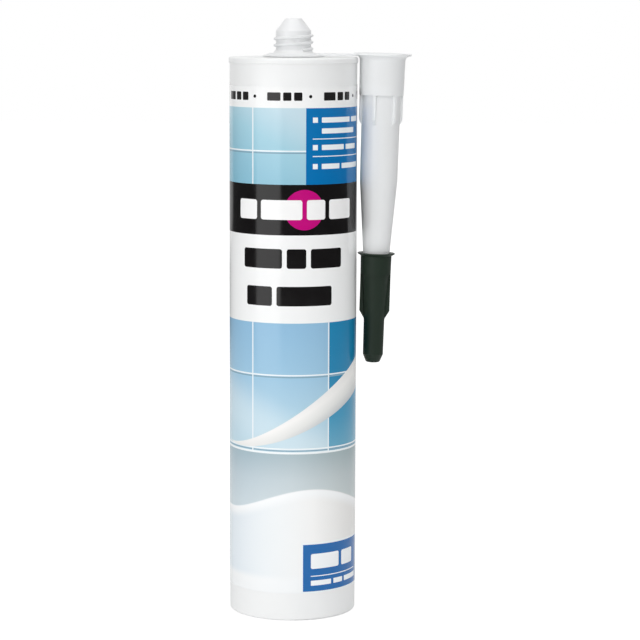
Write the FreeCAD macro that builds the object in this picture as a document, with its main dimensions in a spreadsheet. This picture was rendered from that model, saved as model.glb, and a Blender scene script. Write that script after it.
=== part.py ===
import FreeCAD, Part
import os
import Sketcher
from FreeCAD import Placement, Rotation, Vector

# A 310 ml sealant cartridge with its nozzle hanging beside it.
# Frame: the origin is on the barrel's axis at its foot, +Z runs up to the head,
# and the nozzle hangs on the +X side. All sizes are in millimetres.

SIZES = {
    # Barrel: a tube closed by a flat head with a bead round the rim
    "barrel_length": 220.0,         # foot to the outer face of the head
    "barrel_diameter": 50.0,
    "barrel_wall": 1.7,
    "head_thickness": 2.5,
    "bead_height": 2.4,
    "bead_proud": 0.4,
    "rim_round": 0.8,
    "foot_round": 0.8,
    "mouth_depth": 14.0,            # the rear mouth is a little wider, so that the piston goes in
    "mouth_step": 0.15,
    "mouth_taper": 0.5,
    # Neck: a threaded spout, moulded shut at its tip
    "neck_height": 15.0,
    "neck_diameter": 13.8,
    "neck_wall": 1.7,
    "collar_step": 1.3,
    "collar_height": 1.4,
    "flare_height": 1.5,
    "spout_diameter": 6.4,
    "spout_height": 4.8,
    "spout_wall": 1.2,
    "spout_round": 0.6,
    # Thread of the neck and of the nozzle's socket
    "thread_pitch": 2.55,
    "thread_depth": 0.9,
    "thread_root": 1.5,
    "thread_crest": 0.6,
    "thread_turns": 2.33,
    "thread_sink": 0.87,            # the thread starts this far down in the flare
    "thread_bite": 0.1,             # how far its section reaches into the wall
    "thread_start_turn": 60.0,      # degrees that the thread starts before the nozzle's side
    # Label: film wrapped round the barrel
    "label_thickness": 0.12,
    "label_glue": 0.02,
    "label_foot_margin": 11.0,
    "label_head_margin": 10.7,
    # Piston and filling
    "piston_inset": 16.0,
    "piston_height": 18.0,
    "piston_fit": 0.05,
    "piston_wall": 1.6,
    "piston_crown": 1.8,
    "piston_lip": 2.5,
    "piston_waist": 0.6,
    "piston_bevel": 0.8,
    "piston_round": 2.0,
    "fill_gap": 0.1,
    # Ring and strap that tie the nozzle to the neck
    "ring_gap": 0.2,
    "ring_play": 0.3,
    "ring_thickness": 1.3,
    "ring_flat": 1.0,
    "ring_slope": 2.6,
    "ring_edge": 0.3,
    "strap_width": 6.0,
    "strap_thickness": 1.0,
    "strap_root": 2.0,
    # Nozzle: flange, skirt with the socket, ribbed shank and cone
    "nozzle_gap": 0.6,
    "flange_diameter": 22.5,
    "flange_thickness": 0.9,
    "flange_fillet": 1.8,
    "flange_round": 0.3,
    "socket_play": 0.2,
    "socket_spare": 0.6,
    "socket_floor": 0.7,
    "socket_taper": 1.5,
    "socket_turns": 3.4,
    "socket_groove_play": 0.3,
    "socket_relief": 1.0,           # plain bore between the thread and the socket's end
    "skirt_wall": 0.6,
    "skirt_draft": 0.3,
    "shank_step": 0.52,
    "shank_draft": 0.22,
    "shank_depth": 50.0,            # flange to the start of the long cone
    "nozzle_length": 118.0,
    "nozzle_wall": 1.2,
    "tip_diameter": 4.4,
    "tip_wall": 0.9,
    "rib_count": 6,
    "rib_width": 1.2,
    "rib_setback": 0.1,
    "rib_length": 9.6,
    "rib_bevel": 3.0,
    "rib_root": 0.6,
    "rib_turn": 10.0,               # degrees from the side away from the barrel
    # Cap pushed on the nozzle's tip
    "cap_grip": 39.5,               # how far the cap reaches over the nozzle
    "cap_play": 0.15,
    "cap_gap": 0.4,                 # what the cap's rim keeps off the label
    "cap_wall": 0.74,
    "cap_rim_proud": 1.25,
    "cap_rim_edge": 0.35,
    "cap_rim_height": 1.1,
    "cap_skirt_length": 8.5,
    "cap_skirt_draft": 0.12,
    "cap_core_wall": 0.65,
    "cap_wing_count": 2,
    "cap_wing_turn": 0.0,           # degrees from the side away from the barrel
    "cap_wing_setback": 0.02,
    "cap_wing_length": 14.5,
    "cap_wing_bevel": 4.0,
    "cap_wing_root": 0.5,
    "cap_wing_width": 1.3,
    "cap_tail_diameter": 8.2,
    "cap_tail_draft": 0.1,
    "cap_tail_bevel": 3.2,
    "cap_end_diameter": 5.4,
    "cap_end_round": 0.9,
    "cap_floor": 3.7,
    "cap_bottom_play": 0.4,
}

doc = FreeCAD.newDocument("caulk_tube")
sheet = doc.addObject("Spreadsheet::Sheet", "sizes")
for row, (alias, number) in enumerate(SIZES.items(), start=1):
    sheet.set(f"A{row}", alias)
    sheet.set(f"B{row}", str(number))
    sheet.setAlias(f"B{row}", alias)
doc.recompute()

BOUND_RANGE = 1e-4


def on_sheet(words):
    """The expression with each size's name turned into a reference to the sheet."""
    for alias in sorted(SIZES, key=len, reverse=True):
        words = words.replace(f"[{alias}]", f"sizes.{alias}")
    return words


def number_of(words):
    """The number that an expression on the sheet gives now."""
    found = sheet.evalExpression(on_sheet(words))
    return float(getattr(found, "Value", found))


# Places that several pieces share, as expressions on the sheet
BORE = "([barrel_diameter] / 2 - [barrel_wall])"
BEAD = "([barrel_diameter] / 2 + [bead_proud])"
HEAD_INSIDE = "([barrel_length] - [head_thickness])"
NECK = "([neck_diameter] / 2)"
NECK_BORE = f"({NECK} - [neck_wall])"
COLLAR = f"({NECK} + [collar_step])"
SPOUT_FOOT = "([neck_height] - [spout_height])"
THREAD_FOOT = "([barrel_length] + [collar_height] + [flare_height] - [thread_sink])"
LABEL = "([barrel_diameter] / 2 + [label_glue] + [label_thickness])"
CROWN = "([piston_inset] + [piston_height])"

RING_HOLE = f"({COLLAR} + [ring_play])"
RING_TOP = "([barrel_length] + [ring_gap] + [ring_thickness])"
SOCKET = f"({NECK} + [socket_play])"
SOCKET_MOUTH = f"({COLLAR} + [socket_play])"
SOCKET_DEPTH = "([neck_height] + [socket_spare])"
SKIRT = f"({SOCKET_MOUTH} + [skirt_wall])"
SKIRT_END = f"({SKIRT} - [skirt_draft])"
SKIRT_DEPTH = f"({SOCKET_DEPTH} + [socket_floor])"
SHANK = f"({SOCKET} + [shank_step])"
SHANK_END = f"({SHANK} - [shank_draft])"
TIP = "([tip_diameter] / 2)"
RIB = f"({SKIRT_END} - [rib_setback])"
RIB_END = f"({SKIRT_DEPTH} + [rib_length])"
OFFSET = f"({BEAD} + [nozzle_gap] + {SKIRT})"


def cone_at(depth):
    """The nozzle cone's outer radius at a depth below the flange."""
    slope = f"(({SHANK_END} - {TIP}) / ([nozzle_length] - [shank_depth]))"
    return f"({SHANK_END} - ({depth} - [shank_depth]) * {slope})"


CAP_MOUTH = "([nozzle_length] - [cap_grip])"
CAP_HOLLOW_END = "([nozzle_length] + [cap_bottom_play])"
CAP_END = f"({CAP_HOLLOW_END} + [cap_floor])"
CAP_SKIRT = f"({cone_at(CAP_MOUTH)} + [cap_play] + [cap_wall])"
CAP_RIM = f"({CAP_SKIRT} + [cap_rim_proud])"
CAP_SKIRT_END = f"({CAP_MOUTH} + [cap_skirt_length])"
CAP_CORE = f"({cone_at(CAP_SKIRT_END)} + [cap_play] + [cap_core_wall])"
CAP_WING = f"({CAP_SKIRT} - [cap_skirt_draft] - [cap_wing_setback])"
CAP_WING_END = f"({CAP_SKIRT_END} + [cap_wing_length])"
CAP_CORE_END = f"({CAP_WING_END} + [cap_wing_bevel])"
CAP_TAIL = "([cap_tail_diameter] / 2)"
LEAN = f"asin(({OFFSET} - {CAP_RIM} - {LABEL} - [cap_gap]) / {CAP_MOUTH})"


def new_body(name):
    """One moulded or wrapped piece."""
    body = doc.addObject("PartDesign::Body", name)
    body.Label = name
    return body


def origin_part(body, role):
    """A plane or axis of the body's own origin."""
    return next(part for part in body.Origin.OriginFeatures if part.Role == role)


def new_sketch(body, name, role="XZ_Plane"):
    """An empty sketch on one of the body's origin planes."""
    sketch = body.newObject("Sketcher::SketchObject", name)
    sketch.AttachmentSupport = [(origin_part(body, role), "")]
    sketch.MapMode = "FlatFace"
    return sketch


def hold(sketch, corner, direction, words):
    """Ties one coordinate of a corner to the sheet."""
    if words == "0":
        axis = -2 if direction == "DistanceX" else -1
        sketch.addConstraint(Sketcher.Constraint("PointOnObject", corner, 1, axis))
        return
    constraint = Sketcher.Constraint(direction, -1, 1, corner, 1, number_of(words))
    index = sketch.addConstraint(constraint)
    sketch.setExpression(f"Constraints[{index}]", on_sheet(words))


def outline(sketch, corners):
    """A closed outline through corners, each given by two expressions: across and up."""
    points = [Vector(number_of(across), number_of(up), 0) for across, up in corners]
    count = len(points)
    for index in range(count):
        sketch.addGeometry(Part.LineSegment(points[index], points[(index + 1) % count]), False)
    for index in range(count):
        following = (index + 1) % count
        sketch.addConstraint(Sketcher.Constraint("Coincident", index, 2, following, 1))
    for index, (across, up) in enumerate(corners):
        hold(sketch, index, "DistanceX", across)
        hold(sketch, index, "DistanceY", up)


def turned(body, name, sketch, kind="PartDesign::Revolution"):
    """The sketch turned once round its own upright axis, added or cut."""
    feature = body.newObject(kind, name)
    feature.Profile = (sketch, [""])
    feature.ReferenceAxis = (sketch, ["V_Axis"])
    feature.Angle = 360
    sketch.Visibility = False
    doc.recompute()
    return feature


def cut_away(body, name, sketch, kind="PartDesign::Groove"):
    """A turned cut that has to take material away."""
    before = body.Tip.Shape.Volume
    feature = turned(body, name, sketch, kind)
    if not feature.Shape.Volume < before:
        raise RuntimeError(f"{name} cuts nothing")
    return feature


def rings_of(shape, rings):
    """The names of the circular edges that lie at the given radius and height."""
    wanted = [(number_of(radius), number_of(height)) for radius, height in rings]
    names = []
    for index, edge in enumerate(shape.Edges, start=1):
        if not isinstance(edge.Curve, Part.Circle):
            continue
        for radius, height in wanted:
            same_radius = abs(edge.Curve.Radius - radius) < BOUND_RANGE
            if same_radius and abs(edge.Curve.Center.z - height) < BOUND_RANGE:
                names.append(f"Edge{index}")
    return names


def rounded(body, name, radius, rings):
    """A fillet on circular edges."""
    base = body.Tip
    feature = body.newObject("PartDesign::Fillet", name)
    feature.Base = (base, rings_of(base.Shape, rings))
    feature.setExpression("Radius", on_sheet(radius))
    doc.recompute()
    return feature


def threaded(body, name, kind, foot, wall, turns, play="0"):
    """A single-start right-hand thread of trapezoid section, added or cut."""
    crest = f"{wall} + [thread_depth]"
    root = f"{wall} - [thread_bite]"
    sketch = new_sketch(body, f"{name}_section")
    sketch.AttachmentOffset = Placement(Vector(), Rotation(Vector(0, 1, 0), 1))
    sketch.setExpression("AttachmentOffset.Rotation.Angle", on_sheet("-[thread_start_turn]"))
    outline(sketch, [
        (root, f"{foot} - {play} / 2"),
        (crest, f"{foot} + ([thread_root] - [thread_crest] - {play}) / 2"),
        (crest, f"{foot} + ([thread_root] + [thread_crest] + {play}) / 2"),
        (root, f"{foot} + [thread_root] + {play} / 2"),
    ])
    feature = body.newObject(kind, name)
    feature.Profile = (sketch, [""])
    feature.ReferenceAxis = (sketch, ["V_Axis"])
    feature.Mode = "pitch-turns-angle"
    feature.setExpression("Pitch", on_sheet("[thread_pitch]"))
    feature.setExpression("Turns", on_sheet(turns))
    sketch.Visibility = False
    doc.recompute()
    return feature


def ribbed(body, name, corners, width, turn, count):
    """One lengthwise rib or wing, repeated round the body's axis."""
    sketch = new_sketch(body, f"{name}_section")
    sketch.AttachmentOffset = Placement(Vector(), Rotation(Vector(0, 1, 0), 1))
    sketch.setExpression("AttachmentOffset.Rotation.Angle", on_sheet(turn))
    outline(sketch, corners)
    rib = body.newObject("PartDesign::Pad", name)
    rib.Profile = (sketch, [""])
    rib.Midplane = True
    rib.setExpression("Length", on_sheet(width))
    sketch.Visibility = False
    doc.recompute()
    pattern = body.newObject("PartDesign::PolarPattern", f"{name}_ring")
    pattern.Originals = [rib]
    pattern.Axis = (origin_part(body, "Z_Axis"), [""])
    pattern.Angle = 360
    pattern.setExpression("Occurrences", on_sheet(count))
    body.Tip = pattern
    doc.recompute()
    return pattern


# Barrel: tube, head, bead and neck in one moulding
barrel = new_body("barrel")
barrel_section = new_sketch(barrel, "barrel_section")
NECK_TOP = "([barrel_length] + [neck_height])"
SPOUT_SLOPE = f"(({NECK} - [spout_diameter] / 2) / [spout_height])"
outline(barrel_section, [
    (f"{BORE} + [mouth_step]", "0"),
    ("[barrel_diameter] / 2", "0"),
    ("[barrel_diameter] / 2", "[barrel_length] - [bead_height]"),
    (BEAD, "[barrel_length] - [bead_height] + [bead_proud]"),
    (BEAD, "[barrel_length]"),
    (COLLAR, "[barrel_length]"),
    (COLLAR, "[barrel_length] + [collar_height]"),
    (NECK, "[barrel_length] + [collar_height] + [flare_height]"),
    (NECK, f"[barrel_length] + {SPOUT_FOOT}"),
    ("[spout_diameter] / 2", NECK_TOP),
    ("0", NECK_TOP),
    ("0", f"{NECK_TOP} - [spout_wall]"),
    (f"{NECK_BORE} - ([spout_height] - [spout_wall]) * {SPOUT_SLOPE}",
     f"{NECK_TOP} - [spout_wall]"),
    (NECK_BORE, f"[barrel_length] + {SPOUT_FOOT}"),
    (NECK_BORE, HEAD_INSIDE),
    (BORE, HEAD_INSIDE),
    (BORE, "[mouth_depth] + [mouth_taper]"),
    (f"{BORE} + [mouth_step]", "[mouth_depth]"),
])
turned(barrel, "barrel_body", barrel_section)
rounded(barrel, "barrel_foot", "[foot_round]", [("[barrel_diameter] / 2", "0")])
rounded(barrel, "barrel_rim", "[rim_round]", [(BEAD, "[barrel_length]")])
rounded(barrel, "spout_edge", "[spout_round]", [("[spout_diameter] / 2", NECK_TOP)])
threaded(barrel, "neck_thread", "PartDesign::AdditiveHelix", THREAD_FOOT, NECK,
         "[thread_turns]")

# Label: a sleeve of film between the two bare ends of the barrel
label = new_body("label")
label_section = new_sketch(label, "label_section")
LABEL_INSIDE = "[barrel_diameter] / 2 + [label_glue]"
outline(label_section, [
    (LABEL_INSIDE, "[label_foot_margin]"),
    (LABEL, "[label_foot_margin]"),
    (LABEL, "[barrel_length] - [label_head_margin]"),
    (LABEL_INSIDE, "[barrel_length] - [label_head_margin]"),
])
turned(label, "label_sleeve", label_section)

# Piston: a cup with a lip at each end, open to the rear
piston = new_body("piston")
piston.setExpression("Placement.Base.z", on_sheet("[piston_inset]"))
piston_section = new_sketch(piston, "piston_section")
LIP = f"({BORE} - [piston_fit])"
CUP = f"({LIP} - [piston_wall])"
outline(piston_section, [
    (CUP, "0"),
    (LIP, "0"),
    (LIP, "[piston_lip]"),
    (f"{LIP} - [piston_waist]", "[piston_lip] + [piston_waist]"),
    (f"{LIP} - [piston_waist]", "[piston_height] - [piston_lip] - [piston_waist]"),
    (LIP, "[piston_height] - [piston_lip]"),
    (LIP, "[piston_height] - [piston_bevel]"),
    (f"{LIP} - [piston_bevel]", "[piston_height]"),
    ("0", "[piston_height]"),
    ("0", "[piston_height] - [piston_crown]"),
    (CUP, "[piston_height] - [piston_crown]"),
])
turned(piston, "piston_cup", piston_section)
rounded(piston, "piston_corner", "[piston_round]", [(CUP, "[piston_height] - [piston_crown]")])

# Sealant: what fills the barrel and the neck
sealant = new_body("sealant")
sealant_section = new_sketch(sealant, "sealant_section")
FILL_TOP = f"{HEAD_INSIDE} - [fill_gap]"
outline(sealant_section, [
    ("0", f"{CROWN} + [fill_gap]"),
    (f"{BORE} - [fill_gap]", f"{CROWN} + [fill_gap]"),
    (f"{BORE} - [fill_gap]", FILL_TOP),
    (f"{NECK_BORE} - [fill_gap]", FILL_TOP),
    (f"{NECK_BORE} - [fill_gap]", f"[barrel_length] + {SPOUT_FOOT}"),
    ("0", f"[barrel_length] + {SPOUT_FOOT}"),
])
turned(sealant, "sealant_column", sealant_section)


def hang(body):
    """Puts a body in the nozzle's own frame: its origin is on the flange, its axis leans."""
    body.Placement = Placement(Vector(), Rotation(Vector(0, 1, 0), 1))
    body.setExpression("Placement.Base.x", on_sheet(OFFSET))
    body.setExpression("Placement.Base.z", on_sheet(RING_TOP))
    body.setExpression("Placement.Rotation.Angle", on_sheet(LEAN))


# Nozzle: flange, socket and cone, with the strap and the ring moulded to it
nozzle = new_body("nozzle")
hang(nozzle)
nozzle_section = new_sketch(nozzle, "nozzle_section")
outline(nozzle_section, [
    ("0", "0"),
    ("[flange_diameter] / 2", "0"),
    ("[flange_diameter] / 2", "-[flange_thickness]"),
    (SKIRT, "-[flange_thickness]"),
    (SKIRT_END, f"-{SKIRT_DEPTH}"),
    (SHANK, f"-{SKIRT_DEPTH}"),
    (SHANK_END, "-[shank_depth]"),
    (TIP, "-[nozzle_length]"),
    ("0", "-[nozzle_length]"),
])
turned(nozzle, "nozzle_body", nozzle_section)
rounded(nozzle, "flange_corner", "[flange_fillet]", [(SKIRT, "-[flange_thickness]")])
rounded(nozzle, "flange_edge", "[flange_round]", [
    ("[flange_diameter] / 2", "0"),
    ("[flange_diameter] / 2", "-[flange_thickness]"),
])
ribbed(nozzle, "nozzle_rib", [
    (f"{SHANK} - [rib_root]", f"-{SKIRT_DEPTH} + [rib_root]"),
    (RIB, f"-{SKIRT_DEPTH} + [rib_root]"),
    (RIB, f"-{RIB_END}"),
    (f"{SHANK} - [rib_root]", f"-{RIB_END} - [rib_bevel]"),
], "[rib_width]", "[rib_turn]", "[rib_count]")


def level(sketch):
    """Sets a sketch of the leaning nozzle level, with its origin under the ring's centre."""
    sketch.AttachmentOffset = Placement(Vector(), Rotation(Vector(0, 0, 1), 1))
    across = f"-{OFFSET} * cos({LEAN}) + [ring_thickness] * sin({LEAN})"
    up = f"-{OFFSET} * sin({LEAN}) - [ring_thickness] * cos({LEAN})"
    sketch.setExpression("AttachmentOffset.Base.x", on_sheet(across))
    sketch.setExpression("AttachmentOffset.Base.y", on_sheet(up))
    sketch.setExpression("AttachmentOffset.Rotation.Angle", on_sheet(LEAN))


strap_section = new_sketch(nozzle, "strap_section")
level(strap_section)
STRAP_START = f"{RING_HOLE} + [ring_flat]"
STRAP_END = f"{OFFSET} - [flange_diameter] / 2 + [strap_root]"
outline(strap_section, [
    (STRAP_START, "[ring_thickness] - [strap_thickness]"),
    (STRAP_END, "[ring_thickness] - [strap_thickness]"),
    (STRAP_END, "[ring_thickness]"),
    (STRAP_START, "[ring_thickness]"),
])
strap = nozzle.newObject("PartDesign::Pad", "strap")
strap.Profile = (strap_section, [""])
strap.Midplane = True
strap.setExpression("Length", on_sheet("[strap_width]"))
strap_section.Visibility = False
doc.recompute()

ring_section = new_sketch(nozzle, "ring_section")
level(ring_section)
RING_OUTSIDE = f"{RING_HOLE} + [ring_flat] + [ring_slope]"
outline(ring_section, [
    (RING_HOLE, "0"),
    (RING_OUTSIDE, "0"),
    (RING_OUTSIDE, "[ring_edge]"),
    (f"{RING_HOLE} + [ring_flat]", "[ring_thickness]"),
    (RING_HOLE, "[ring_thickness]"),
])
turned(nozzle, "ring", ring_section)

bore_section = new_sketch(nozzle, "bore_section")
outline(bore_section, [
    ("0", "[flange_thickness]"),
    (SOCKET_MOUTH, "[flange_thickness]"),
    (SOCKET_MOUTH, "-[collar_height] - [socket_play]"),
    (SOCKET, "-[collar_height] - [flare_height] - [socket_play]"),
    (SOCKET, f"-{SOCKET_DEPTH}"),
    (f"{SHANK} - [nozzle_wall]", f"-{SOCKET_DEPTH} - [socket_taper]"),
    (f"{SHANK_END} - [nozzle_wall]", "-[shank_depth]"),
    (f"{TIP} - [tip_wall]", "-[nozzle_length]"),
    (f"{TIP} - [tip_wall]", "-[nozzle_length] - [tip_wall]"),
    ("0", "-[nozzle_length] - [tip_wall]"),
])
cut_away(nozzle, "nozzle_bore", bore_section)
plain_bore = nozzle.Tip.Shape.Volume
threaded(nozzle, "socket_thread", "PartDesign::SubtractiveHelix",
         f"(-{SOCKET_DEPTH} + [socket_relief])", SOCKET, "[socket_turns]",
         "[socket_groove_play]")
if not nozzle.Tip.Shape.Volume < plain_bore:
    raise RuntimeError("the socket's thread cuts nothing")

# Cap: a closed sleeve with a flared rim, two wings to grip and a slim tail
nozzle_cap = new_body("nozzle_cap")
hang(nozzle_cap)
cap_section = new_sketch(nozzle_cap, "cap_section")
outline(cap_section, [
    ("0", f"-{CAP_MOUTH}"),
    (CAP_RIM, f"-{CAP_MOUTH}"),
    (CAP_RIM, f"-{CAP_MOUTH} - [cap_rim_edge]"),
    (CAP_SKIRT, f"-{CAP_MOUTH} - [cap_rim_height]"),
    (f"{CAP_SKIRT} - [cap_skirt_draft]", f"-{CAP_SKIRT_END}"),
    (CAP_CORE, f"-{CAP_SKIRT_END}"),
    (CAP_TAIL, f"-{CAP_CORE_END}"),
    (f"{CAP_TAIL} - [cap_tail_draft]", f"-{CAP_END} + [cap_tail_bevel]"),
    ("[cap_end_diameter] / 2", f"-{CAP_END}"),
    ("0", f"-{CAP_END}"),
])
turned(nozzle_cap, "cap_body", cap_section)
rounded(nozzle_cap, "cap_end_corner", "[cap_end_round]", [
    ("[cap_end_diameter] / 2", f"-{CAP_END}"),
])
ribbed(nozzle_cap, "cap_wing", [
    (f"{CAP_TAIL} - [cap_wing_root]", f"-{CAP_SKIRT_END} + [cap_wing_root]"),
    (CAP_WING, f"-{CAP_SKIRT_END} + [cap_wing_root]"),
    (CAP_WING, f"-{CAP_WING_END}"),
    (f"{CAP_TAIL} - [cap_wing_root]", f"-{CAP_CORE_END}"),
], "[cap_wing_width]", "[cap_wing_turn]", "[cap_wing_count]")
hollow_section = new_sketch(nozzle_cap, "hollow_section")
outline(hollow_section, [
    ("0", f"-{CAP_MOUTH} + [cap_play]"),
    (f"{cone_at(CAP_MOUTH)} + [cap_play]", f"-{CAP_MOUTH} + [cap_play]"),
    (f"{TIP} + [cap_play]", f"-{CAP_HOLLOW_END}"),
    ("0", f"-{CAP_HOLLOW_END}"),
])
cut_away(nozzle_cap, "cap_hollow", hollow_section)

doc.recompute()

PIECES = [barrel, label, piston, sealant, nozzle, nozzle_cap]

for item in doc.Objects:
    failed = [state for state in item.State if state in ("Invalid", "Error")]
    if failed:
        raise RuntimeError(f"{item.Name} failed: {failed}")
for piece in PIECES:
    if piece.Shape.isNull() or not piece.Shape.isValid():
        raise RuntimeError(f"{piece.Label} has no valid shape")
    if len(piece.Shape.Solids) != 1:
        raise RuntimeError(f"{piece.Label} is {len(piece.Shape.Solids)} solids")

os.makedirs("parts", exist_ok=True)
for piece in PIECES:
    piece.Shape.exportStep(f"parts/{piece.Label}.step")
    box = piece.Shape.BoundBox
    print(f"{piece.Label}: {piece.Shape.Volume / 1000:.2f} ml, "
          f"x {box.XMin:.2f} to {box.XMax:.2f}, z {box.ZMin:.2f} to {box.ZMax:.2f}")
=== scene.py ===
import math
import bpy
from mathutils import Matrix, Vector


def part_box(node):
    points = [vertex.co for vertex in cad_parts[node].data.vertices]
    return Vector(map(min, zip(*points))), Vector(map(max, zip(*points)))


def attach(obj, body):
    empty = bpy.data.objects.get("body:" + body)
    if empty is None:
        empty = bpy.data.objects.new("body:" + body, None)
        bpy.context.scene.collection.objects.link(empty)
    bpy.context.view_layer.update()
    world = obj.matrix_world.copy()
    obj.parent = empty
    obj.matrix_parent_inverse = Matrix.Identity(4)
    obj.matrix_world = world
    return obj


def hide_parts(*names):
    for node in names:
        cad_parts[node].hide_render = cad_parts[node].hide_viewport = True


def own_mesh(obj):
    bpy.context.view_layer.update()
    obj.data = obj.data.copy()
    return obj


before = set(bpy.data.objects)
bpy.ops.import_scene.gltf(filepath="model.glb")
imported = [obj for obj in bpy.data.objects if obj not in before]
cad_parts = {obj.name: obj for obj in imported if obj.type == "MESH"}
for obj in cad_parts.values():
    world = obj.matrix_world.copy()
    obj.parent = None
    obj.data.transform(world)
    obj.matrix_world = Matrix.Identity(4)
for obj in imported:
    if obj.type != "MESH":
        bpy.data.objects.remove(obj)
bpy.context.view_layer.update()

MM = 0.001

# Barrel
# The cartridge's tube, head, rim and threaded neck are one injection moulding of white
# high-density polyethylene. Everything else is wrapped round it, slides in it or hangs on it.
BARREL_WHITE = "F3F4F4"
# Painted shade: the tube's own white, made a shade darker for the neck
NECK_WHITE_WITH_PAINTED_SHADE = "EDEEEF"
COLLAR_TOP = 221.5 * MM
NECK_BLEND = 2 * MM
EVEN_DEPTH = (1.0, 1.0, 1.0)
NOISE_LOW, NOISE_HIGH = 0.35, 0.65


def linear(colour):
    """The linear colour of an sRGB hex value."""
    parts = [int(colour[place:place + 2], 16) / 255 for place in (0, 2, 4)]
    return [part / 12.92 if part <= 0.04045 else ((part + 0.055) / 1.055) ** 2.4
            for part in parts] + [1.0]


def add_node(tree, kind, sockets=None, **settings):
    """A node with its settings. Each socket gets a value or another node's output."""
    node = tree.nodes.new(kind)
    for setting, value in settings.items():
        setattr(node, setting, value)
    for socket, value in (sockets or {}).items():
        if isinstance(value, bpy.types.NodeSocket):
            tree.links.new(value, node.inputs[socket])
        else:
            node.inputs[socket].default_value = value
    return node


def new_material(name, **sockets):
    """A material with one shader, and its node tree."""
    material = bpy.data.materials.new(name)
    material.use_nodes = True
    shader = material.node_tree.nodes["Principled BSDF"]
    for socket, value in sockets.items():
        shader.inputs[socket.replace("_", " ")].default_value = value
    return material, material.node_tree, shader


def fine_surface(tree, shader, grain, depth, gloss, spread):
    """The fine unevenness of a real face: a soft grain in the surface and in its gloss."""
    patch = 12 * grain
    place = add_node(tree, "ShaderNodeTexCoord").outputs["Object"]
    skin = add_node(tree, "ShaderNodeTexNoise",
                    {"Vector": place, "Scale": 1 / grain, "Detail": 2.0, "Roughness": 0.5})
    bump = add_node(tree, "ShaderNodeBump",
                    {"Height": skin.outputs["Fac"], "Strength": 0.5, "Distance": depth})
    tree.links.new(bump.outputs["Normal"], shader.inputs["Normal"])
    patches = add_node(tree, "ShaderNodeTexNoise",
                       {"Vector": place, "Scale": 1 / patch, "Detail": 3.0})
    sheen = add_node(tree, "ShaderNodeMapRange",
                     {"Value": patches.outputs["Fac"], "From Min": NOISE_LOW,
                      "From Max": NOISE_HIGH, "To Min": gloss - spread,
                      "To Max": gloss + spread})
    tree.links.new(sheen.outputs["Result"], shader.inputs["Roughness"])


# Polyethylene from a polished mould: even white, a soft wide shine, a waxy depth at its edges.
# The neck is painted a shade darker than the tube. This is painted shade: its plastic is the same
# white.
barrel_plastic, tree, shader = new_material("white_moulded_polyethylene", IOR=1.54,
                                            Subsurface_Weight=0.15, Subsurface_Scale=1.2 * MM,
                                            Subsurface_Radius=EVEN_DEPTH)
here = add_node(tree, "ShaderNodeTexCoord").outputs["Object"]
height = add_node(tree, "ShaderNodeSeparateXYZ", {0: here}).outputs["Z"]
# Blends the tube's white into the neck's painted shade above the collar
on_neck = add_node(tree, "ShaderNodeMapRange",
                   {"Value": height, "From Min": COLLAR_TOP, "From Max": COLLAR_TOP + NECK_BLEND})
tone = add_node(tree, "ShaderNodeMix",
                {0: on_neck.outputs["Result"], 6: linear(BARREL_WHITE),
                 7: linear(NECK_WHITE_WITH_PAINTED_SHADE)}, data_type="RGBA")
tree.links.new(tone.outputs[2], shader.inputs["Base Color"])
fine_surface(tree, shader, grain=0.9 * MM, depth=0.01 * MM, gloss=0.34, spread=0.04)
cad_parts["barrel"].data.materials.clear()
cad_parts["barrel"].data.materials.append(barrel_plastic)

# Label
# A printed polypropylene film, glued round the barrel between its bare ends, with its two
# ends lapped at the back. It is printed in blues, black and white, and is glossy.
film_low, film_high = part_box("label")
FILM = 0.1 * MM
GLUE = 0.03 * MM
LAP = 7 * MM
LAP_STEP = 2 * MM
STEPS_ROUND, STEPS_UP = 280, 24
SMOOTH_ANGLE = math.radians(40)
film_foot = film_low.z
film_head = film_high.z
film_radius = film_high.x - FILM / 2
film_width = 2 * math.pi * film_radius + LAP
film_height = film_head - film_foot

bpy.ops.object.select_all(action="DESELECT")
bpy.ops.mesh.primitive_grid_add(x_subdivisions=STEPS_ROUND, y_subdivisions=STEPS_UP, size=1,
                                calc_uvs=True)
film = bpy.context.object
film.name = "label_film"
for vertex in film.data.vertices:
    across, up = vertex.co.x * film_width, (vertex.co.y + 0.5) * film_height + film_foot
    past_seam = max(0.0, across - (film_width / 2 - LAP) + LAP_STEP) / LAP_STEP
    lift = (FILM + GLUE) * min(1.0, past_seam)
    angle = (across + LAP / 2) / film_radius
    radius = film_radius + lift
    vertex.co = Vector((radius * math.sin(angle), -radius * math.cos(angle), up))
film.data.update()
wall = film.modifiers.new("film_thickness", "SOLIDIFY")
wall.thickness = FILM
wall.offset = 0
bpy.ops.object.modifier_apply(modifier=wall.name)
bpy.ops.object.shade_smooth_by_angle(angle=SMOOTH_ANGLE)

# Print, in millimetres on the unrolled film: across from the front's middle, up from the foot.
# It has flat fields of colour, rows of plain bars, a round spot, and a tiled wall with a ribbon.
FILM_WHITE = "F8F9F9"
INK_BLACK = "0F0D0E"
INK_BLUE = "0072B4"
INK_DEEP_BLUE = "0065AD"
INK_MAGENTA = "C4087C"
ROUND = 2 * math.pi * film_radius / MM
TILE_WIDTH = ROUND / 5
TILE_HEIGHT = 29.0
TILE_SIDE = 15.0
JOINT = 0.55
JOINT_HEIGHT = 184.5
JOINT_SHADE_DROP = 1.3 * JOINT
ALL_ROUND = (-90, 90)
UPPER_WALL = (171.65, 201.0)
BLACK_BAND = (152.1, 171.65)
LOWER_WALL = (0, 117.9)
BAR, BAR_GAP = 7.6, 1.8
SMALL_BAR, SMALL_GAP = 2.0, 1.2
RULE = 0.35

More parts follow.
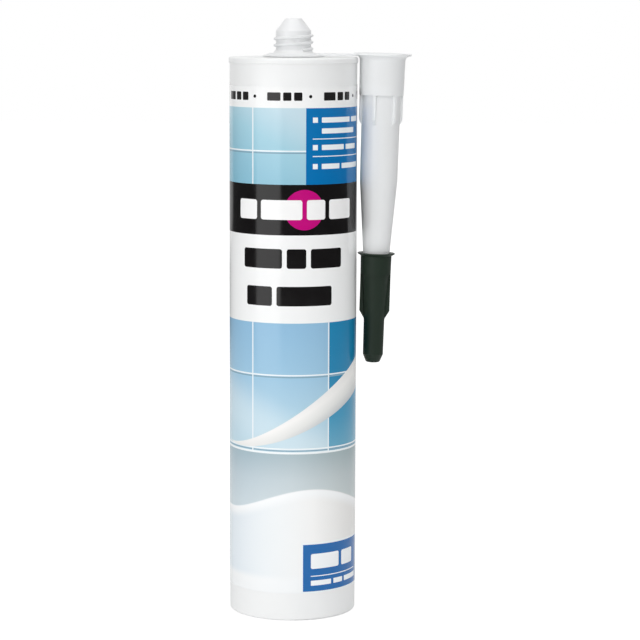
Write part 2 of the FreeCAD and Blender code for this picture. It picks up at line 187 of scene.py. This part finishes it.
# Gravure print under a clear varnish: flat inks with crisp edges, and a gloss that hardly varies
printed_film, tree, shader = new_material("varnished_printed_film", IOR=1.49)
fine_surface(tree, shader, grain=0.5 * MM, depth=0.002 * MM, gloss=0.14, spread=0.02)
flat = add_node(tree, "ShaderNodeUVMap", uv_map="UVMap")
place = add_node(tree, "ShaderNodeMapping",
                 {"Vector": flat.outputs["UV"],
                  "Location": (-ROUND / 2, film_foot / MM, 0),
                  "Scale": (film_width / MM, film_height / MM, 1)}).outputs["Vector"]
place_parts = add_node(tree, "ShaderNodeSeparateXYZ", {0: place})
across, up = place_parts.outputs["X"], place_parts.outputs["Y"]


def box_mask(left, right, low, high):
    """1 inside a plain box on the film."""
    wide = add_node(tree, "ShaderNodeMath",
                    {0: across, 1: (left + right) / 2, 2: (right - left) / 2},
                    operation="COMPARE")
    tall = add_node(tree, "ShaderNodeMath",
                    {0: up, 1: (low + high) / 2, 2: (high - low) / 2}, operation="COMPARE")
    return add_node(tree, "ShaderNodeMath", {0: wide.outputs[0], 1: tall.outputs[0]},
                    operation="MULTIPLY").outputs[0]


def round_mask(middle, size, corner, where=None):
    """1 inside a box with round corners."""
    half = (size[0] / 2 - corner, size[1] / 2 - corner, 0)
    moved = add_node(tree, "ShaderNodeVectorMath", {0: where or place, 1: (*middle, 0)},
                     operation="SUBTRACT")
    folded = add_node(tree, "ShaderNodeVectorMath", {0: moved.outputs[0]}, operation="ABSOLUTE")
    past = add_node(tree, "ShaderNodeVectorMath", {0: folded.outputs[0], 1: half},
                    operation="SUBTRACT")
    outside = add_node(tree, "ShaderNodeVectorMath", {0: past.outputs[0], 1: (0, 0, 0)},
                       operation="MAXIMUM")
    far = add_node(tree, "ShaderNodeVectorMath", {0: outside.outputs[0]}, operation="LENGTH")
    return add_node(tree, "ShaderNodeMath", {0: far.outputs["Value"], 1: corner},
                    operation="LESS_THAN").outputs[0]


def together(masks):
    """1 where any of the masks is 1."""
    joined = masks[0]
    for mask in masks[1:]:
        joined = add_node(tree, "ShaderNodeMath", {0: joined, 1: mask},
                          operation="MAXIMUM").outputs[0]
    return joined


def inked(below, ink, mask):
    """The print so far, with one more ink on it where the mask is 1."""
    ink = linear(ink) if isinstance(ink, str) else ink
    return add_node(tree, "ShaderNodeMix", {0: mask, 6: below, 7: ink},
                    data_type="RGBA").outputs[2]


def bar_row(start, middle, height, gap, widths, where=None):
    """A row of bars of one height, with slightly rounded corners."""
    masks = []
    for width in widths:
        masks.append(round_mask((start + width / 2, middle), (width, height), height / 8, where))
        start += width + gap
    return together(masks)


def ramp(value, low, high, stops):
    """Colours that blend into each other as a value goes from low to high."""
    share = add_node(tree, "ShaderNodeMapRange",
                     {"Value": value, "From Min": low, "From Max": high})
    blend = add_node(tree, "ShaderNodeValToRGB", {"Fac": share.outputs["Result"]})
    marks = blend.color_ramp.elements
    for number, colour in enumerate(stops):
        mark = marks[number] if number < 2 else marks.new(1.0)
        mark.position = number / (len(stops) - 1)
        mark.color = linear(colour)
    return blend.outputs["Color"]


def wave(middle, height, length, start):
    """A height on the film that rises and falls as a sine along it."""
    turn = add_node(tree, "ShaderNodeMath",
                    {0: across, 1: 2 * math.pi / length, 2: -2 * math.pi * start / length},
                    operation="MULTIPLY_ADD")
    rise = add_node(tree, "ShaderNodeMath", {0: turn.outputs[0]}, operation="SINE")
    return add_node(tree, "ShaderNodeMath", {0: rise.outputs[0], 1: height, 2: middle},
                    operation="MULTIPLY_ADD").outputs[0]


def softly(value, low, high):
    """0 below low, 1 above high, and a smooth change between."""
    return add_node(tree, "ShaderNodeMapRange",
                    {"Value": value, "From Min": low, "From Max": high},
                    interpolation_type="SMOOTHSTEP").outputs["Result"]


def in_both(one, other):
    """1 where both masks are 1."""
    return add_node(tree, "ShaderNodeMath", {0: one, 1: other}, operation="MULTIPLY").outputs[0]


def repeat_lines(value, pitch, first, width):
    """Lines of one width, repeated along a value."""
    shifted = add_node(tree, "ShaderNodeMath", {0: value, 1: first - pitch / 2},
                       operation="SUBTRACT")
    within = add_node(tree, "ShaderNodeMath", {0: shifted.outputs[0], 1: pitch},
                      operation="FLOORED_MODULO")
    return add_node(tree, "ShaderNodeMath", {0: within.outputs[0], 1: pitch / 2, 2: width / 2},
                    operation="COMPARE").outputs[0]


# The wall of pale blue tiles, in a field at the top and a taller one below, with one soft gleam
GLEAM_MIDDLE = 71.0
GLEAM_SHARE = 0.45
slant_rise = wave(middle=0.0, height=13.8, length=ROUND, start=0.0)
slant = add_node(tree, "ShaderNodeMath", {0: up, 1: slant_rise}, operation="ADD").outputs[0]
upper_tiles = ramp(slant, low=155, high=212,
                   stops=["84BCD2", "94C6DA", "A6D2E2", "C6DFEA", "D4E6F0"])
lower_tiles = ramp(up, low=62, high=118, stops=["C6DFEA", "B2D4E6", "9CC6E1", "93BFDE"])
deep_tiles = ramp(up, low=62, high=118, stops=["74B2CC", "3D98BF", "1785B4", "1C86B6"])
gleam_off = add_node(tree, "ShaderNodeMath", {0: slant, 1: GLEAM_MIDDLE}, operation="SUBTRACT")
gleam_far = add_node(tree, "ShaderNodeMath", {0: gleam_off.outputs[0]}, operation="ABSOLUTE")
gleam = add_node(tree, "ShaderNodeMath",
                 {0: softly(gleam_far.outputs[0], low=16, high=1), 1: GLEAM_SHARE},
                 operation="MULTIPLY").outputs[0]
lower_tiles = inked(lower_tiles, "E2F0F6", gleam)
lower_tiles = inked(lower_tiles, deep_tiles, box_mask(TILE_SIDE, TILE_SIDE + TILE_WIDTH, 0, 120))
joints_across = repeat_lines(across, TILE_WIDTH, TILE_SIDE, JOINT)
joints_up = repeat_lines(up, TILE_HEIGHT, JOINT_HEIGHT, JOINT)
shade_up = repeat_lines(up, TILE_HEIGHT, JOINT_HEIGHT - JOINT_SHADE_DROP, JOINT)

sheet = linear(FILM_WHITE)
in_upper_wall, in_lower_wall = box_mask(*ALL_ROUND, *UPPER_WALL), box_mask(*ALL_ROUND, *LOWER_WALL)
sheet = inked(sheet, upper_tiles, in_upper_wall)
sheet = inked(sheet, lower_tiles, in_lower_wall)
tiled = together([in_upper_wall, in_lower_wall])
sheet = inked(sheet, "86A9BC", in_both(tiled, shade_up))
sheet = inked(sheet, "F2F8FB", in_both(tiled, together([joints_across, joints_up])))

# A white ribbon that swells and thins as it crosses the lower wall
ribbon_line = wave(middle=84.0, height=15.0, length=ROUND, start=12.0)
ribbon_off = add_node(tree, "ShaderNodeMath", {0: up, 1: ribbon_line}, operation="SUBTRACT")
ribbon_far = add_node(tree, "ShaderNodeMath", {0: ribbon_off.outputs[0]}, operation="ABSOLUTE")
ribbon_half = wave(middle=3.0, height=3.4, length=ROUND, start=-6.0)
ribbon = add_node(tree, "ShaderNodeMath", {0: ribbon_far.outputs[0], 1: ribbon_half},
                  operation="LESS_THAN").outputs[0]
ribbon_shade = ramp(ribbon_off.outputs[0], low=-6, high=6,
                    stops=["C9CDD0", "E9EAE8", "F8F7F5", "F3F3F1"])
sheet = inked(sheet, ribbon_shade, ribbon)

# The ledge under the wall, and the white sweep that fills the film's foot
LEDGE_TOP = 66.5
LEDGE_LINE_TOP = 67.3
LEDGE_DEPTH_SHARE = 0.45
ledge = ramp(across, low=-80, high=80,
             stops=["AABCC2", "ABC1CB", "AEC6D3", "B9CDD8", "C6D3D8", "BCC6C6", "9FB2B4", "A4B7BB",
                    "AABCC2"])
ledge_depth = ramp(up, low=46, high=LEDGE_TOP, stops=["E3EAEC", "C8D3D8", "86A2AC"])
ledge = inked(ledge, ledge_depth, LEDGE_DEPTH_SHARE)
sheet = inked(sheet, ledge, box_mask(*ALL_ROUND, 0, LEDGE_TOP))
sheet = inked(sheet, "F4F9FB", box_mask(*ALL_ROUND, LEDGE_TOP, LEDGE_LINE_TOP))
sweep_line = wave(middle=47.5, height=4.5, length=ROUND / 2, start=-12.0)
sweep_off = add_node(tree, "ShaderNodeMath", {0: up, 1: sweep_line},
                     operation="SUBTRACT").outputs[0]
sweep_paint = ramp(across, low=-77, high=77,
                   stops=["E1E9EC", "DFE9EF", "DCE9F1", "E7EFF5", "F1F5F7", "F9F9F8", "F1F0EE",
                          "E8E8E6", "E4E9EA", "E1E9EC"])
sheet = inked(sheet, sweep_paint, softly(sweep_off, low=0.7, high=-0.1))
sweep_edge = in_both(softly(sweep_off, low=-5.0, high=-0.5),
                     softly(sweep_off, low=0.4, high=-0.1))
sheet = inked(sheet, "FAFCFD", sweep_edge)
sheet = inked(sheet, "F7F9FA", softly(up, low=19.0, high=15.5))

# Blue list panel with square bullets, rules and rows of small bars
LIST_PANEL = (5.2, 36.5)
LIST_LEFT, LIST_RIGHT, LIST_BARS_LEFT = 7.9, 35, 11.6
BULLET = 2.0
bullets = [box_mask(LIST_LEFT, LIST_LEFT + BULLET, middle - BULLET / 2, middle + BULLET / 2)
           for middle in (196.4, 185.9, 178.6)]
list_rows = ((196.4, (15.0, 6.5)), (192.2, (18.5,)), (185.9, (11.0, 8.0)), (178.6, (8.5, 13.0)))
list_bars = [bar_row(LIST_BARS_LEFT, middle, SMALL_BAR, SMALL_GAP, widths)
             for middle, widths in list_rows]
rules = [box_mask(LIST_LEFT, LIST_RIGHT, low, low + RULE) for low in (189.0, 182.3)]
sheet = inked(sheet, INK_BLUE, box_mask(*LIST_PANEL, *UPPER_WALL))
sheet = inked(sheet, "F6FAFC", together(bullets + list_bars + rules))

# Black band with a magenta spot behind a row of white bars
BAND_MIDDLE = 161.9
SPOT = 15.6
sheet = inked(sheet, INK_BLACK, box_mask(*ALL_ROUND, *BLACK_BAND))
sheet = inked(sheet, INK_MAGENTA, round_mask((4.7, BAND_MIDDLE), (SPOT, SPOT), SPOT / 2))
sheet = inked(sheet, "FBFBFB", bar_row(-23.5, BAND_MIDDLE, BAR, BAR_GAP, (9.0, 16.5, 7.6, 12.0)))

# White panel with two rows of large dark bars
panel_rows = together([bar_row(-21.0, 143.0, BAR, BAR_GAP, (17.0, 7.6, 14.0)),
                       bar_row(-19.5, 128.4, BAR, BAR_GAP, (11.5, 22.5))])
sheet = inked(sheet, INK_BLACK, panel_rows)

# Short bars and dots round the white band at the top, seven times round the barrel
BAND_PITCH = ROUND / 7
TOP_MIDDLE = 205.4
DOT = 1.3
past_front = add_node(tree, "ShaderNodeMath", {0: across, 1: -BAND_PITCH / 2},
                      operation="SUBTRACT").outputs[0]
in_pitch = add_node(tree, "ShaderNodeMath", {0: past_front, 1: BAND_PITCH},
                    operation="FLOORED_MODULO").outputs[0]
band_place = add_node(tree, "ShaderNodeCombineXYZ", {"X": in_pitch, "Y": up}).outputs["Vector"]
band_row = together([bar_row(start=1.2, middle=TOP_MIDDLE, height=3.2, gap=1.0,
                             widths=(5.4, 3.2, 3.2), where=band_place),
                     round_mask((BAND_PITCH - 4.3, TOP_MIDDLE), (DOT, DOT), DOT / 2, band_place)])
sheet = inked(sheet, INK_BLACK, band_row)

# Blue box at the foot, with two bars over a rule and a row of smaller ones
BOX_EDGE = (3.8, 37.1, 11.0, 31.0)
BOX = (4.4, 36.5, 11.6, 30.4)
BOX_BARS_LEFT, BOX_RULE_RIGHT, BOX_RULE_LOW = 7.6, 33, 17.5
sheet = inked(sheet, "F4FAFC", box_mask(*BOX_EDGE))
sheet = inked(sheet, INK_DEEP_BLUE, box_mask(*BOX))
box_bars = together([bar_row(BOX_BARS_LEFT, middle=23.6, height=6.0, gap=1.6, widths=(13.0, 8.0)),
                     bar_row(BOX_BARS_LEFT, 14.9, SMALL_BAR, SMALL_GAP, (9.0, 5.0, 10.0)),
                     box_mask(BOX_BARS_LEFT, BOX_RULE_RIGHT, BOX_RULE_LOW, BOX_RULE_LOW + RULE)])
sheet = inked(sheet, "F8FBFD", box_bars)

tree.links.new(sheet, shader.inputs["Base Color"])
film.data.materials.append(printed_film)
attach(film, "barrel")
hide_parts("label")

# Piston
# A cup of natural low-density polyethylene that closes the rear of the barrel. It is a push
# fit, with a lip at each end, and its open side faces the gun's plunger.
piston_plastic, tree, shader = new_material("satin_natural_polyethylene", IOR=1.51,
                                            Subsurface_Weight=0.2, Subsurface_Scale=1.5 * MM,
                                            Subsurface_Radius=EVEN_DEPTH)
shader.inputs["Base Color"].default_value = linear("EAECEB")
fine_surface(tree, shader, grain=0.7 * MM, depth=0.015 * MM, gloss=0.46, spread=0.05)
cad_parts["piston"].data.materials.clear()
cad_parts["piston"].data.materials.append(piston_plastic)

# Sealant
# The filling of silicone paste between the piston and the head, and a plug of it in the neck.
# The column gets shorter as the piston rises. The plug stays where it is.
HEAD_INSIDE = 217.4 * MM
PLUG_RADIUS = 5.1 * MM
COLUMN_SIDES = 96
TOOLING_RIPPLE = 6 * MM
sealant_low, sealant_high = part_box("sealant")
sealant_paste, tree, shader = new_material("white_silicone_paste", IOR=1.41, Roughness=0.28,
                                           Subsurface_Weight=0.3, Subsurface_Scale=2 * MM,
                                           Subsurface_Radius=EVEN_DEPTH)
shader.inputs["Base Color"].default_value = linear("F3F3F0")
tooling = add_node(tree, "ShaderNodeTexNoise",
                   {"Vector": add_node(tree, "ShaderNodeTexCoord").outputs["Object"],
                    "Scale": 1 / TOOLING_RIPPLE, "Detail": 2.0})
ripple = add_node(tree, "ShaderNodeBump", {"Height": tooling.outputs["Fac"], "Distance": 0.2 * MM})
tree.links.new(ripple.outputs["Normal"], shader.inputs["Normal"])


def paste_cylinder(name, radius, low, high, rounding):
    """A column of paste with rounded rims."""
    bpy.ops.object.select_all(action="DESELECT")
    bpy.ops.mesh.primitive_cylinder_add(vertices=COLUMN_SIDES, radius=radius, depth=high - low,
                                        location=(0, 0, (low + high) / 2))
    column = bpy.context.object
    column.name = name
    bpy.ops.object.transform_apply(location=True)
    rims = column.modifiers.new("rounded_rims", "BEVEL")
    rims.width, rims.segments, rims.limit_method = rounding, 4, "ANGLE"
    bpy.ops.object.modifier_apply(modifier=rims.name)
    bpy.ops.object.shade_smooth_by_angle(angle=SMOOTH_ANGLE)
    column.data.materials.append(sealant_paste)
    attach(column, "barrel")
    return column


column = paste_cylinder("sealant_column", sealant_high.x, sealant_low.z, HEAD_INSIDE,
                        rounding=0.8 * MM)
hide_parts("sealant")
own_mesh(column)
paste_cylinder("sealant_in_neck", PLUG_RADIUS, HEAD_INSIDE, sealant_high.z, rounding=0.4 * MM)

# Nozzle
# One moulding of natural polyethylene: the flange, the socket with its ribs and the long cone,
# with the strap and the ring that hold it to the neck. The thin walls let some light in.
nozzle_plastic, tree, shader = new_material("natural_moulded_polyethylene", IOR=1.52,
                                            Subsurface_Weight=0.5, Subsurface_Scale=2.5 * MM,
                                            Subsurface_Radius=EVEN_DEPTH)
shader.inputs["Base Color"].default_value = linear("F1F3F4")
fine_surface(tree, shader, grain=0.8 * MM, depth=0.012 * MM, gloss=0.36, spread=0.05)
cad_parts["nozzle"].data.materials.clear()
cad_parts["nozzle"].data.materials.append(nozzle_plastic)

# Nozzle cap
# A closed sleeve of very dark green polyethylene with a flared rim, two wings to grip and a
# slim tail, moulded in one piece and pushed on the nozzle's tip.
cap_plastic, tree, shader = new_material("dark_green_moulded_polyethylene", IOR=1.52,
                                        Specular_IOR_Level=0.3)
shader.inputs["Base Color"].default_value = linear("15261A")
fine_surface(tree, shader, grain=0.6 * MM, depth=0.012 * MM, gloss=0.46, spread=0.05)
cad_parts["nozzle_cap"].data.materials.clear()
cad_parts["nozzle_cap"].data.materials.append(cap_plastic)

# Camera
# The photograph looks at the cartridge from a metre in front, at the height of its neck, with a
# long lens that points a little down.
CAMERA_LENS = 135.65
SENSOR_WIDTH = 36
CAMERA_PLACE = Vector((10.74, -950, 240)) * MM
CAMERA_TARGET = Vector((10.74, 0, 116.1)) * MM
CAMERA_ROLL = math.radians(0.2)
camera_data = bpy.data.cameras.new("camera")
camera_data.lens = CAMERA_LENS
camera_data.sensor_width = SENSOR_WIDTH
camera = bpy.data.objects.new("camera", camera_data)
bpy.context.scene.collection.objects.link(camera)
camera.location = CAMERA_PLACE
aim = (CAMERA_TARGET - CAMERA_PLACE).to_track_quat("-Z", "Y").to_euler()
aim.rotate_axis("Z", CAMERA_ROLL)
camera.rotation_euler = aim
bpy.context.scene.camera = camera

# Light
# A large soft box on the left at the barrel's height, a wide one in front above it, one
# overhead and a weak one on the right. One behind whitens the far ground.
LAMP_AIM = Vector((0, 0, 120)) * MM


def soft_box(name, azimuth, elevation, distance, width, height, radiance):
    """An area lamp that faces the barrel's middle. White paper facing radiance 1 looks white."""
    data = bpy.data.lights.new(name, "AREA")
    data.shape = "RECTANGLE"
    data.size, data.size_y = width, height
    data.energy = radiance * math.pi * width * height
    lamp = bpy.data.objects.new(name, data)
    bpy.context.scene.collection.objects.link(lamp)
    turn, rise = math.radians(azimuth), math.radians(elevation)
    toward = Vector((math.sin(turn) * math.cos(rise), -math.cos(turn) * math.cos(rise),
                     math.sin(rise)))
    lamp.location = LAMP_AIM + toward * distance
    lamp.rotation_euler = (-toward).to_track_quat("-Z", "Y").to_euler()
    lamp.visible_camera = False


soft_box("soft_box_left", -45, 9, 0.66, 0.58, 0.44, 1.46)
soft_box("soft_box_front", 3, 31, 0.95, 1.0, 0.5, 1.66)
soft_box("soft_box_right", 75, 30, 1.2, 0.9, 0.9, 0.4)
soft_box("backdrop_light", 180, 10, 1.3, 2.4, 1.6, 0.55)
soft_box("soft_box_top", 0, 85, 1.0, 1.2, 1.2, 1.1)

# Floor
# A plain pale sheet under the cartridge. To the camera it is white, and keeps the shadow close
# to the foot. Further off it is dark to everything else, so that it lights the object little.
FLOOR_SIZE = 8
SHADOW_CORE = 0.1
SHADOW_REACH = 0.45
PAPER_EDGE = 0.6
PAPER_GLOW = 1.15
bpy.ops.object.select_all(action="DESELECT")
bpy.ops.mesh.primitive_plane_add(size=FLOOR_SIZE, location=(0, 0, 0))
floor = bpy.context.object
floor.name = "floor"
floor_paper, tree, shader = new_material("pale_floor", Roughness=0.9)
light_path = add_node(tree, "ShaderNodeLightPath")
glow = add_node(tree, "ShaderNodeEmission", {"Color": linear("FFFFFF"), "Strength": PAPER_GLOW})
here = add_node(tree, "ShaderNodeTexCoord")
distance = add_node(tree, "ShaderNodeVectorMath", {0: here.outputs["Object"]}, operation="LENGTH")
fade = add_node(tree, "ShaderNodeMapRange",
                {"Value": distance.outputs["Value"], "From Min": SHADOW_CORE,
                 "From Max": SHADOW_REACH, "To Min": 0.72, "To Max": 1.0})
paper_tone = add_node(tree, "ShaderNodeMapRange",
                      {"Value": distance.outputs["Value"], "From Min": PAPER_EDGE,
                       "From Max": 1.5 * PAPER_EDGE, "To Min": 0.92, "To Max": 0.1})
tree.links.new(paper_tone.outputs["Result"], shader.inputs["Base Color"])
share = add_node(tree, "ShaderNodeMath",
                 {0: light_path.outputs["Is Camera Ray"], 1: fade.outputs["Result"]},
                 operation="MULTIPLY")
paper = add_node(tree, "ShaderNodeMixShader",
                 {0: share.outputs[0], 1: shader.outputs[0], 2: glow.outputs[0]})
tree.links.new(paper.outputs[0], tree.nodes["Material Output"].inputs["Surface"])
floor.data.materials.append(floor_paper)

# Room
# White behind the object for the camera, and for everything else a low even light from all
# round, as from the walls of a studio.
ROOM_LIGHT = 0.35
world = bpy.data.worlds.new("room")
world.use_nodes = True
bpy.context.scene.world = world
tree = world.node_tree
tree.nodes.clear()
light_path = add_node(tree, "ShaderNodeLightPath")
seen = add_node(tree, "ShaderNodeBackground", {"Color": linear("FFFFFF"), "Strength": 1.0})
around = add_node(tree, "ShaderNodeBackground", {"Color": linear("FFFFFF"), "Strength": ROOM_LIGHT})
both = add_node(tree, "ShaderNodeMixShader",
                {0: light_path.outputs["Is Camera Ray"], 1: around.outputs[0],
                 2: seen.outputs[0]})
add_node(tree, "ShaderNodeOutputWorld", {"Surface": both.outputs[0]})

bpy.context.scene.view_settings.view_transform = "Standard"
